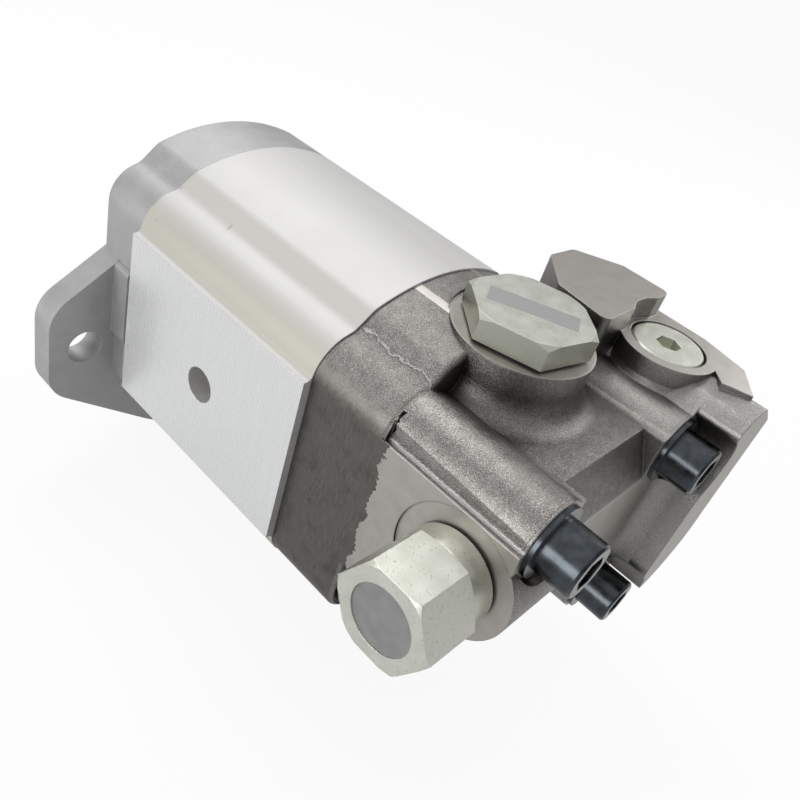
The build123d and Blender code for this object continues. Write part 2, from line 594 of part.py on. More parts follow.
    # pressure passage from the housing to the spool bore, and from there to the relief valve
    with BuildSketch(station(REAR_JOINT)):
        with Locations((PASSAGE_X, MID_Z)):
            Circle(PASSAGE_RADIUS)
    extrude(amount=PLUG_DEPTH - REAR_JOINT + PASSAGE_RADIUS, mode=Mode.SUBTRACT)
    with BuildSketch(Plane.YZ.offset(PASSAGE_X)):
        with Locations((-PLUG_DEPTH, MID_Z)):
            Circle(PRESSURE_DRILL_RADIUS)
    extrude(amount=-PASSAGE_X, mode=Mode.SUBTRACT)
    with BuildSketch(Plane.YZ):
        with Locations((-PLUG_DEPTH, RELIEF_DRILL_Z)):
            Circle(RELIEF_CROSS_RADIUS)
    extrude(amount=VALVE_X, mode=Mode.SUBTRACT)
    with BuildSketch(station(PLUG_DEPTH - 2)):
        with Locations((VALVE_X, RELIEF_DRILL_Z)):
            Circle(RELIEF_LONG_RADIUS)
    extrude(amount=VALVE_DEPTH - PLUG_DEPTH + 2, mode=Mode.SUBTRACT)
    # joint face: seal groove, dowel holes and bolt holes with their seats
    with BuildSketch(station(REAR_JOINT)):
        add(seal_track.sketch)
    extrude(amount=SEAL_DEPTH, mode=Mode.SUBTRACT)
    with BuildSketch(station(REAR_JOINT)):
        with Locations(*DOWEL_PLACES):
            Circle(DOWEL_RADIUS)
    extrude(amount=DOWEL_HALF, mode=Mode.SUBTRACT)
    with BuildSketch(station(REAR_JOINT)):
        with Locations(*BOLT_PLACES):
            Circle(BOLT_CLEARANCE)
    extrude(amount=RIGHT_END - REAR_JOINT, mode=Mode.SUBTRACT)
    with BuildSketch(station(BOLT_SEAT)):
        with Locations(*LONG_BOLT_PLACES):
            Circle(RIB_RADIUS)
    extrude(amount=RIGHT_END - BOLT_SEAT, mode=Mode.SUBTRACT)
    with BuildSketch(station(SHORT_SEAT)):
        with Locations(SHORT_BOLT_PLACE):
            Circle(RIB_RADIUS)
    extrude(amount=10, mode=Mode.SUBTRACT)
save(rear_cover.part, "rear_cover")

# Gears, each cut in one piece with its shaft
GEAR_FRONT = FRONT_JOINT + BLOCK_LENGTH + RUNNING_GAP
with BuildPart() as drive_gear_shaft:
    with BuildSketch(station(GEAR_FRONT)):
        add(gear_section.sketch)
    extrude(amount=GEAR_WIDTH)
    with BuildSketch(station(-PILOT_LENGTH - 0.5)):
        Circle(JOURNAL_RADIUS)
    extrude(amount=REAR_JOINT - 1 + PILOT_LENGTH + 0.5)
    with BuildSketch(station(-SHAFT_END)):
        Circle(SHAFT_RADIUS)
    extrude(amount=SHAFT_END)
    chamfer(drive_gear_shaft.faces().sort_by(Axis.Y)[-1].edges(), 1)
    with BuildSketch(Plane.XY.offset(KEY_FLOOR)):
        with Locations((0, KEY_START + KEY_LENGTH / 2)):
            SlotOverall(KEY_LENGTH, KEY_WIDTH, rotation=90)
    extrude(amount=SHAFT_RADIUS, mode=Mode.SUBTRACT)
save(drive_gear_shaft.part, "drive_gear_shaft")

with BuildPart() as shaft_key:
    with BuildSketch(Plane.XY.offset(KEY_FLOOR)):
        with Locations((0, KEY_START + KEY_LENGTH / 2)):
            SlotOverall(KEY_LENGTH, KEY_WIDTH, rotation=90)
    extrude(amount=6)
save(shaft_key.part, "shaft_key")

with BuildPart() as driven_gear_shaft:
    with BuildSketch(station(GEAR_FRONT)):
        with Locations((0, DRIVEN_Z)):
            add(gear_section.sketch)
    extrude(amount=GEAR_WIDTH)
    with BuildSketch(station(FRONT_JOINT + 1)):
        with Locations((0, DRIVEN_Z)):
            Circle(JOURNAL_RADIUS)
    extrude(amount=REAR_JOINT - FRONT_JOINT - 2)
save(driven_gear_shaft.part, "driven_gear_shaft")

# Pressure seal groove on the back of a bearing block, open on the suction side
GROOVE_OUTER = 23.2
GROOVE_INNER = 21.0
BACKUP_INNER = 19.5
GROOVE_DEPTH = 2.2
GROOVE_OPEN_X = 6.0
RELIEF_SLOT_X = 9.0
RELIEF_SLOT_DEPTH = 1.5
with BuildSketch() as pressure_seal_section:
    with Locations(*GEAR_AXES):
        Circle(GROOVE_OUTER)
    with Locations(*GEAR_AXES):
        Circle(GROOVE_INNER, mode=Mode.SUBTRACT)
    with Locations((GROOVE_OPEN_X + GROOVE_OUTER, MID_Z)):
        Rectangle(2 * GROOVE_OUTER, 4 * GROOVE_OUTER, mode=Mode.SUBTRACT)
with BuildSketch() as backup_section:
    with Locations(*GEAR_AXES):
        Circle(GROOVE_INNER)
    with Locations(*GEAR_AXES):
        Circle(BACKUP_INNER, mode=Mode.SUBTRACT)
    with Locations((GROOVE_OPEN_X + GROOVE_OUTER, MID_Z)):
        Rectangle(2 * GROOVE_OUTER, 4 * GROOVE_OUTER, mode=Mode.SUBTRACT)

BUSH_RADIUS = 14.0
BUSH_BORE = JOURNAL_RADIUS + RUNNING_GAP


def bearing_set(name, cover_face, inward):
    """Bearing block, its bushes, and the seals in its outer face, which lies on a cover."""
    with BuildPart() as block:
        with BuildSketch(station(cover_face)):
            with Locations(*GEAR_AXES):
                Circle(GEAR_BORE_RADIUS - RUNNING_GAP)
            with Locations(*GEAR_AXES):
                Circle(BUSH_RADIUS, mode=Mode.SUBTRACT)
        extrude(amount=inward * BLOCK_LENGTH)
        with BuildSketch(station(cover_face)):
            add(pressure_seal_section.sketch)
            add(backup_section.sketch)
        extrude(amount=inward * GROOVE_DEPTH, mode=Mode.SUBTRACT)
        with BuildSketch(station(cover_face + inward * BLOCK_LENGTH)):
            with Locations((-RELIEF_SLOT_X, MID_Z), (RELIEF_SLOT_X, MID_Z)):
                Rectangle(5, 6)
        extrude(amount=-inward * RELIEF_SLOT_DEPTH, mode=Mode.SUBTRACT)
    save(block.part, f"{name}_bearing_block")
    with BuildPart() as bushes:
        with BuildSketch(station(cover_face)):
            with Locations(*GEAR_AXES):
                Circle(BUSH_RADIUS)
            with Locations(*GEAR_AXES):
                Circle(BUSH_BORE, mode=Mode.SUBTRACT)
        extrude(amount=inward * BLOCK_LENGTH)
    save(bushes.part, f"{name}_bushes")
    with BuildPart() as pressure_seal:
        with BuildSketch(station(cover_face)):
            add(pressure_seal_section.sketch)
        extrude(amount=inward * GROOVE_DEPTH)
    save(pressure_seal.part, f"{name}_pressure_seal")
    with BuildPart() as backup_rings:
        with BuildSketch(station(cover_face)):
            add(backup_section.sketch)
        extrude(amount=inward * GROOVE_DEPTH)
    save(backup_rings.part, f"{name}_backup_rings")
    with BuildPart() as body_seal:
        with BuildSketch(station(cover_face)):
            add(seal_track.sketch)
        extrude(amount=-inward * SEAL_DEPTH)
    save(body_seal.part, f"{name}_body_seal")


bearing_set("front", FRONT_JOINT, 1)
bearing_set("rear", REAR_JOINT, -1)

# Shaft lip seal and its retaining ring, on the front of the drive shaft
SEAL_SHELL_RADIUS = SEAL_SEAT_RADIUS - 1
with BuildPart() as shaft_seal_case:
    with BuildSketch(Plane.XY):
        with BuildLine():
            Polyline(
                (SEAL_SEAT_RADIUS, -SEAL_BACK), (SEAL_SEAT_RADIUS, SEAL_FRONT), (15, SEAL_FRONT),
                (15, SEAL_FRONT - 1), (SEAL_SHELL_RADIUS, SEAL_FRONT - 1), (SEAL_SHELL_RADIUS, -SEAL_BACK),
                close=True,
            )
        make_face()
    revolve(axis=Axis.Y)
save(shaft_seal_case.part, "shaft_seal_case")

with BuildPart() as shaft_seal_lip:
    with BuildSketch(Plane.XY):
        with BuildLine():
            Polyline(
                (SEAL_SHELL_RADIUS, -SEAL_BACK), (SEAL_SHELL_RADIUS, SEAL_FRONT - 1), (13.6, SEAL_FRONT - 1),
                (BUSH_BORE, 1.5), (BUSH_BORE, 0.5), (14.6, -SEAL_BACK), (15.8, -SEAL_BACK), (15.4, 0.6),
                (17.6, 0.6), (17.6, -SEAL_BACK), close=True,
            )
        make_face()
    revolve(axis=Axis.Y)
save(shaft_seal_lip.part, "shaft_seal_lip")

with BuildPart() as seal_retaining_ring:
    with BuildSketch(station(-SEAL_FRONT - RING_THICKNESS)):
        Circle(RING_GROOVE_RADIUS)
        Circle(17.5, mode=Mode.SUBTRACT)
        with Locations((0, -19)):
            Rectangle(9, 10, mode=Mode.SUBTRACT)
    extrude(amount=RING_THICKNESS)
save(seal_retaining_ring.part, "seal_retaining_ring")

# Dowels between the housing and both covers
with BuildPart() as dowel_pins:
    for joint_depth in (FRONT_JOINT, REAR_JOINT):
        with BuildSketch(station(joint_depth - DOWEL_HALF)):
            with Locations(*DOWEL_PLACES):
                Circle(DOWEL_RADIUS)
        extrude(amount=2 * DOWEL_HALF)
save(dowel_pins.part, "dowel_pins")


def socket_bolts(name, places, seat):
    """Socket-head bolts on washers at one seat depth, threaded into the front cover."""
    with BuildPart() as bolts:
        head_bottom = seat + WASHER_THICKNESS
        with BuildSketch(station(head_bottom)):
            with Locations(*places):
                Circle(HEAD_RADIUS)
        extrude(amount=HEAD_HEIGHT)
        chamfer(bolts.faces().sort_by(Axis.Y)[: len(places)].edges(), 0.8)
        with BuildSketch(station(head_bottom + HEAD_HEIGHT)):
            with Locations(*places):
                RegularPolygon(HEAD_SOCKET / 2, 6, major_radius=False)
        extrude(amount=-SOCKET_DEPTH, mode=Mode.SUBTRACT)
        with BuildSketch(station(THREAD_END)):
            with Locations(*places):
                Circle(BOLT_RADIUS)
        extrude(amount=head_bottom - THREAD_END)
    save(bolts.part, name)


socket_bolts("long_bolts", LONG_BOLT_PLACES, BOLT_SEAT)
socket_bolts("short_bolt", [SHORT_BOLT_PLACE], SHORT_SEAT)

with BuildPart() as bolt_washers:
    for places, seat in ((LONG_BOLT_PLACES, BOLT_SEAT), ([SHORT_BOLT_PLACE], SHORT_SEAT)):
        with BuildSketch(station(seat)):
            with Locations(*places):
                Circle(WASHER_RADIUS)
            with Locations(*places):
                Circle(BOLT_RADIUS + 0.5, mode=Mode.SUBTRACT)
        extrude(amount=WASHER_THICKNESS)
save(bolt_washers.part, "bolt_washers")

# Spool plug: hexagon head over the spool bore, hollow below for the spring
PLUG_HEX = 37.6
PLUG_HEAD_BOTTOM = PLUG_SEAT + 0.8
PLUG_HEAD_TOP = 89.9
PLUG_TURN = 48.9
PLUG_SHANK_BOTTOM = SPOOL_TOP + 2
SPRING_ROOF = 76.0
PLUG_HOLLOW = 8.0
with BuildPart() as spool_plug:
    with BuildSketch(Plane.XY.offset(PLUG_HEAD_BOTTOM)):
        with Locations((0, -PLUG_DEPTH)):
            RegularPolygon(PLUG_HEX / 2, 6, major_radius=False, rotation=PLUG_TURN)
    extrude(amount=PLUG_HEAD_TOP - PLUG_HEAD_BOTTOM)
    with BuildSketch(Plane.XZ.offset(PLUG_DEPTH)):
        with BuildLine():
            Polyline(
                (0, PLUG_HEAD_BOTTOM), (PLUG_HEX / 2 + 4, PLUG_HEAD_BOTTOM),
                (PLUG_HEX / 2 + 4, PLUG_HEAD_TOP - 1.8), (PLUG_HEX / 2 + 0.9, PLUG_HEAD_TOP),
                (0, PLUG_HEAD_TOP), close=True,
            )
        make_face()
    revolve(axis=Axis((0, -PLUG_DEPTH, 0), (0, 0, 1)), mode=Mode.INTERSECT)
    with BuildSketch(Plane.XY.offset(PLUG_SHANK_BOTTOM)):
        with Locations((0, -PLUG_DEPTH)):
            Circle(PLUG_THREAD)
    extrude(amount=PLUG_HEAD_BOTTOM - PLUG_SHANK_BOTTOM)
    with BuildSketch(Plane.XY.offset(PLUG_SHANK_BOTTOM)):
        with Locations((0, -PLUG_DEPTH)):
            Circle(PLUG_HOLLOW)
    extrude(amount=SPRING_ROOF - PLUG_SHANK_BOTTOM, mode=Mode.SUBTRACT)
save(spool_plug.part, "spool_plug")

with BuildPart() as spool_plug_seal:
    with BuildSketch(Plane.XY.offset(PLUG_SEAT)):
        with Locations((0, -PLUG_DEPTH)):
            Circle(PLUG_THREAD + 2.8)
            Circle(PLUG_THREAD, mode=Mode.SUBTRACT)
    extrude(amount=PLUG_HEAD_BOTTOM - PLUG_SEAT)
save(spool_plug_seal.part, "spool_plug_seal")

# Priority spool with three lands, and the spring that holds it down
SPOOL_FIT = SPOOL_RADIUS - 0.03
SPOOL_BOTTOM = SPOOL_FLOOR + RUNNING_GAP
SPOOL_END = 54.0
SPOOL_NECK = 6.0
SPRING_STEPS = 10
SPRING_TURNS = 6
SPRING_WIRE = 0.9
with BuildPart() as priority_spool:
    with BuildSketch(Plane.XZ.offset(PLUG_DEPTH)):
        with BuildLine():
            Polyline(
                (0, SPOOL_BOTTOM), (SPOOL_FIT, SPOOL_BOTTOM), (SPOOL_FIT, 25), (SPOOL_NECK, 25),
                (SPOOL_NECK, 31), (SPOOL_FIT, 31), (SPOOL_FIT, 37), (SPOOL_NECK, 37), (SPOOL_NECK, 44),
                (SPOOL_FIT, 44), (SPOOL_FIT, SPOOL_END), (0, SPOOL_END), close=True,
            )
        make_face()
    revolve(axis=Axis((0, -PLUG_DEPTH, 0), (0, 0, 1)))
save(priority_spool.part, "priority_spool")


def coil_spring(name, place, bottom, top, mean_radius):
    """Compression spring standing on its lower end between two faces, in short straight runs."""
    x, y = place
    rise = top - bottom - 2 * SPRING_WIRE
    climb = rise / SPRING_TURNS / (2 * math.pi)
    steps = SPRING_TURNS * SPRING_STEPS
    with BuildPart() as spring:
        for step in range(steps + 1):
            angle = 2 * math.pi * step / SPRING_STEPS
            radial = Vector(math.cos(angle), math.sin(angle), 0)
            along = Vector(-mean_radius * radial.Y, mean_radius * radial.X, climb)
            centre = Vector(x, y, bottom + SPRING_WIRE + rise * step / steps) + radial * mean_radius
            with BuildSketch(Plane(origin=centre, x_dir=radial, z_dir=along)):
                RegularPolygon(SPRING_WIRE, 6)
        loft(ruled=True)
    save(spring.part, name)


coil_spring("priority_spring", (0, -PLUG_DEPTH), SPOOL_END, SPRING_ROOF, 6.2)

# Relief valve: seat, poppet and spring under the socket plug
SEAT_BOTTOM = RELIEF_BORE_FLOOR
SEAT_TOP = 28.0
POPPET_TOP = 42.0
POPPET_RADIUS = RELIEF_BORE_RADIUS - 0.05
COLLAR_RADIUS = 12.9
RELIEF_KEY = 8.0
PLUG_COLLAR_BOTTOM = PAD_TOP - 3
RELIEF_SHANK_BOTTOM = 62.0
with BuildPart() as relief_seat:
    with BuildSketch(Plane.XZ.offset(VALVE_DEPTH)):
        with BuildLine():
            Polyline(
                (VALVE_X + 3, SEAT_BOTTOM), (VALVE_X + RELIEF_BORE_RADIUS, SEAT_BOTTOM),
                (VALVE_X + RELIEF_BORE_RADIUS, SEAT_TOP), (VALVE_X + 5, SEAT_TOP),
                (VALVE_X + 3, SEAT_TOP - 2), close=True,
            )
        make_face()
    revolve(axis=Axis((VALVE_X, -VALVE_DEPTH, 0), (0, 0, 1)))
save(relief_seat.part, "relief_seat")

with BuildPart() as relief_poppet:
    with BuildSketch(Plane.XZ.offset(VALVE_DEPTH)):
        with BuildLine():
            Polyline(
                (VALVE_X, SEAT_TOP - 1.9), (VALVE_X + 2.9, SEAT_TOP - 1.9), (VALVE_X + 6.2, SEAT_TOP + 1.4),
                (VALVE_X + 6.2, SEAT_TOP + 3), (VALVE_X + POPPET_RADIUS, SEAT_TOP + 3),
                (VALVE_X + POPPET_RADIUS, POPPET_TOP), (VALVE_X, POPPET_TOP), close=True,
            )
        make_face()
    revolve(axis=Axis((VALVE_X, -VALVE_DEPTH, 0), (0, 0, 1)))
save(relief_poppet.part, "relief_poppet")

coil_spring("relief_spring", (VALVE_X, -VALVE_DEPTH), POPPET_TOP, RELIEF_SHANK_BOTTOM, 5.0)

with BuildPart() as relief_plug:
    with BuildSketch(Plane.XY.offset(PLUG_COLLAR_BOTTOM)):
        with Locations((VALVE_X, -VALVE_DEPTH)):
            Circle(COLLAR_RADIUS)
    extrude(amount=PAD_TOP - PLUG_COLLAR_BOTTOM)
    chamfer(relief_plug.faces().sort_by(Axis.Z)[-1].edges(), 0.6)
    with BuildSketch(Plane.XY.offset(RELIEF_SHANK_BOTTOM)):
        with Locations((VALVE_X, -VALVE_DEPTH)):
            Circle(RELIEF_THREAD)
    extrude(amount=PLUG_COLLAR_BOTTOM - RELIEF_SHANK_BOTTOM)
    with BuildSketch(Plane.XY.offset(PAD_TOP)):
        with Locations((VALVE_X, -VALVE_DEPTH)):
            RegularPolygon(RELIEF_KEY / 2, 6, major_radius=False)
    extrude(amount=-SOCKET_DEPTH, mode=Mode.SUBTRACT)
save(relief_plug.part, "relief_plug")

with BuildPart() as relief_plug_seal:
    with BuildSketch(Plane.XY.offset(PAD_TOP - RELIEF_RECESS_DEPTH)):
        with Locations((VALVE_X, -VALVE_DEPTH)):
            Circle(COLLAR_RADIUS - 0.5)
            Circle(RELIEF_THREAD, mode=Mode.SUBTRACT)
    extrude(amount=PLUG_COLLAR_BOTTOM - PAD_TOP + RELIEF_RECESS_DEPTH)
save(relief_plug_seal.part, "relief_plug_seal")

# Port adapter on the left side: collar, hexagon, female thread, with its seal and transport cap
ADAPTER_SEAT = LEFT_FACE + SPOTFACE
COLLAR_BACK = ADAPTER_SEAT - 1
COLLAR_END = COLLAR_BACK - 7.6
ADAPTER_END = COLLAR_END - 20
ADAPTER_HEX = 29.6
ADAPTER_BORE = 10.6
COLLAR_OUTER = 15.0
CAP_WALL = 1.5
CAP_LENGTH = 10.0
with BuildPart() as port_adapter:
    with BuildSketch(Plane.YZ.offset(COLLAR_END)):
        with Locations((-SIDE_PORT_DEPTH, SIDE_PORT_Z)):
            RegularPolygon(ADAPTER_HEX / 2, 6, major_radius=False)
    extrude(amount=ADAPTER_END - COLLAR_END)
    with BuildSketch(Plane.XY.offset(SIDE_PORT_Z)):
        with BuildLine():
            flat_y = -SIDE_PORT_DEPTH + ADAPTER_HEX / 2
            Polyline(
                (COLLAR_END, -SIDE_PORT_DEPTH), (COLLAR_END, flat_y), (COLLAR_END - 1.4, flat_y + 3),
                (ADAPTER_END + 1.3, flat_y + 3), (ADAPTER_END, flat_y + 0.7),
                (ADAPTER_END, -SIDE_PORT_DEPTH),
                close=True,
            )
        make_face()
    revolve(axis=Axis((0, -SIDE_PORT_DEPTH, SIDE_PORT_Z), (1, 0, 0)), mode=Mode.INTERSECT)
    with BuildSketch(Plane.YZ.offset(COLLAR_BACK)):
        with Locations((-SIDE_PORT_DEPTH, SIDE_PORT_Z)):
            Circle(COLLAR_OUTER)
    extrude(amount=COLLAR_END - COLLAR_BACK)
    with BuildSketch(Plane.YZ.offset(COLLAR_BACK)):
        with Locations((-SIDE_PORT_DEPTH, SIDE_PORT_Z)):
            Circle(SIDE_THREAD)
    extrude(amount=SIDE_THREAD_DEPTH - 1)
    with BuildSketch(Plane.YZ.offset(ADAPTER_END)):
        with Locations((-SIDE_PORT_DEPTH, SIDE_PORT_Z)):
            Circle(ADAPTER_BORE)
    extrude(amount=SIDE_THREAD_DEPTH, mode=Mode.SUBTRACT)
    with BuildSketch(Plane.YZ.offset(ADAPTER_END)):
        with Locations((-SIDE_PORT_DEPTH, SIDE_PORT_Z)):
            Circle(SIDE_DRILL_RADIUS)
    extrude(amount=3 * SIDE_THREAD_DEPTH, mode=Mode.SUBTRACT)
save(port_adapter.part, "port_adapter")

with BuildPart() as port_adapter_seal:
    with BuildSketch(Plane.YZ.offset(COLLAR_BACK)):
        with Locations((-SIDE_PORT_DEPTH, SIDE_PORT_Z)):
            Circle(COLLAR_OUTER - 1.2)
            Circle(SIDE_THREAD, mode=Mode.SUBTRACT)
    extrude(amount=ADAPTER_SEAT - COLLAR_BACK)
save(port_adapter_seal.part, "port_adapter_seal")

with BuildPart() as port_cap:
    with BuildSketch(Plane.YZ.offset(ADAPTER_END + 0.6)):
        with Locations((-SIDE_PORT_DEPTH, SIDE_PORT_Z)):
            Circle(ADAPTER_BORE)
    extrude(amount=CAP_LENGTH)
    with BuildSketch(Plane.YZ.offset(ADAPTER_END + 2.4)):
        with Locations((-SIDE_PORT_DEPTH, SIDE_PORT_Z)):
            Circle(ADAPTER_BORE - CAP_WALL)
    extrude(amount=CAP_LENGTH, mode=Mode.SUBTRACT)
save(port_cap.part, "port_cap")
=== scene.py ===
import json
import math

import bpy
from mathutils import Matrix, Vector


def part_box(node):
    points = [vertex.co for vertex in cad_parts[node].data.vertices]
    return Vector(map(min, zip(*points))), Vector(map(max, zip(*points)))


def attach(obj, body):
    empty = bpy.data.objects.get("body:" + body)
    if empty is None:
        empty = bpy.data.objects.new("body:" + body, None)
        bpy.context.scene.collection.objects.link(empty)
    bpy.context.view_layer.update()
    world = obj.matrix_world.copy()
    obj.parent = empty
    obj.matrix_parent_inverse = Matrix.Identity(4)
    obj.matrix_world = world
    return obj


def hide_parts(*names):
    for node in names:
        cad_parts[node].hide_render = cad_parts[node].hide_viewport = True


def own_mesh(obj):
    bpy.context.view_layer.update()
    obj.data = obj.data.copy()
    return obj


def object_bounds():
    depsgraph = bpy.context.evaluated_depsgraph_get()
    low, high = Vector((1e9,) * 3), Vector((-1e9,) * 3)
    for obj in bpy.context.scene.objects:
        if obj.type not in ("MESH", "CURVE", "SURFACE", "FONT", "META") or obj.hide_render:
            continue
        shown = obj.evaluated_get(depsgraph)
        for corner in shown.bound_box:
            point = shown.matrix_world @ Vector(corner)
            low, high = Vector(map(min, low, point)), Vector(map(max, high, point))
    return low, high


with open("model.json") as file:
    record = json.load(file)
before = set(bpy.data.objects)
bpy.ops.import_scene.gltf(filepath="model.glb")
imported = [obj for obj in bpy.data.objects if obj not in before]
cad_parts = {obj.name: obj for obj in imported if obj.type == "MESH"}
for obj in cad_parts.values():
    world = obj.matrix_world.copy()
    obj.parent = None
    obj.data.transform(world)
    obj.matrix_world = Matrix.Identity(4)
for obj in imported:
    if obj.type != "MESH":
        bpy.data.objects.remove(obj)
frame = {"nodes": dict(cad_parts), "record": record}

MM = 0.001
X, Y, Z = 0, 1, 2
cad_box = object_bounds()

# Camera: place and axes fitted to the photograph, in the frame of the part
CAMERA_PLACE = Vector((-0.1956, -0.2427, 0.1954))
CAMERA_FORWARD = Vector((0.683, 0.4404, -0.5827)).normalized()
CAMERA_UP_HINT = Vector((0.2863, 0.5725, 0.7683))
CAMERA_LENS = 35.45
CAMERA_SENSOR = 36.0
CAMERA_CLIP = 0.01

# Planes and places of the part that its materials follow
FLAT_X = 54.5 * MM
LEFT_FACE_X = -51.4 * MM
SPOTFACE_X = -50.6 * MM
GROUND_TO_X = -44.0 * MM
NICKED_TO_X = -10.0 * MM
NICKED_TO_Y = -70.0 * MM
TOPS_MILLED_FROM_X = 20.0 * MM
BLOCK_TOP_Z = 86.0 * MM
PAD_TOP_Z = 78.0 * MM
COLUMN_TOP_Z = 77.0 * MM
PLUG_SEAT_Z = 81.2 * MM
PLUG_HEAD_TOP_Z = 89.9 * MM
PILOT_Y = 9.0 * MM
MOUNTING_FACE_Y = 0.0
MILLED_FROM_Y = -151.0 * MM
LEFT_END_Y = -199.2 * MM
RIGHT_END_Y = -214.6 * MM

# Farther out, in metres, than any point of the pump
FAR = 1.0

# Marks of the casting, a crack-like fold behind the plate and a flash line, and the place of a painted
# highlight along the ledge
CRACK_Y = -149.3 * MM
CRACK_X = (-54.0 * MM, -38.0 * MM)
CRACK_Z = (50.0 * MM, 66.0 * MM)
FLASH_X = -36.0 * MM
FLASH_TO_Y = -100.0 * MM
FLASH_FROM_Z = 50.0 * MM
LEDGE_X = -48.5 * MM
LEDGE_Z = (55.8 * MM, 57.6 * MM)

# Lamps: name, place, size in metres and power in watts
LAMPS_AIM_AT = (0.0, -0.1, 0.02)
LAMPS = (
    ("overhead", (0.18, 0.42, 0.98), (0.6, 0.5), 4.0),
    ("left", (-1.15, 0.1, 0.2), (0.8, 0.6), 7.0),
    ("right", (0.9, -0.3, 0.5), (0.4, 0.4), 1.6),
)

# Floor and world: the floor's tones as it lights the pump and as the camera sees it, its shares of
# white for the camera and for reflections, and the sky's brightness at the horizon and above
FLOOR_SIZE = 40.0
FLOOR_GAP = 0.5 * MM
FLOOR_LIT_TONE = 0.4
FLOOR_SEEN_TONE = 0.9
FLOOR_WHITE_SHARE = 0.9
FLOOR_GLOSSY_SHARE = 0.45
SKY_LOW = 0.03
SKY_HIGH = 0.72
SKY_HIGH_AT = 0.6

# Label: a bare foil in line with the plug's hexagon
LABEL_LENGTH = 29.0 * MM
LABEL_WIDTH = 8.5 * MM
LABEL_THICKNESS = 0.08 * MM
LABEL_CORNER = 0.8 * MM
LABEL_TURN = -61.0

# Springs: node, joint and travel
SPRINGS = (
    ("priority_spring", "priority_spool_slide", 6.0 * MM),
    ("relief_spring", "relief_poppet_slide", 2.5 * MM),
)

# A noise texture's values lie mostly between these two
NOISE_LOW = 0.3
NOISE_HIGH = 0.7

# Sockets of the Mix node that share a name: first input, second input and result
MIX_FLOATS = (2, 3, 0)
MIX_COLOURS = (6, 7, 2)


def add_camera():
    right = CAMERA_FORWARD.cross(CAMERA_UP_HINT).normalized()
    up = right.cross(CAMERA_FORWARD).normalized()
    data = bpy.data.cameras.new("camera")
    data.lens = CAMERA_LENS
    data.sensor_width = CAMERA_SENSOR
    data.clip_start = CAMERA_CLIP
    camera = bpy.data.objects.new("camera", data)
    rotation = Matrix((right, up, -CAMERA_FORWARD)).transposed().to_4x4()
    camera.matrix_world = Matrix.Translation(CAMERA_PLACE) @ rotation
    bpy.context.collection.objects.link(camera)
    bpy.context.scene.camera = camera


def add_lamp(name, place, size, power):
    data = bpy.data.lights.new(name, "AREA")
    data.shape = "RECTANGLE"
    data.size, data.size_y = size
    data.energy = power
    lamp = bpy.data.objects.new(name, data)
    lamp.location = place
    direction = Vector(LAMPS_AIM_AT) - Vector(place)
    lamp.rotation_euler = direction.to_track_quat("-Z", "Y").to_euler()
    bpy.context.collection.objects.link(lamp)


def grey(level, warm=0.0):
    return (level * (1 + warm), level, level * (1 - warm), 1.0)


def tone(red, green, blue):
    return (red, green, blue, 1.0)


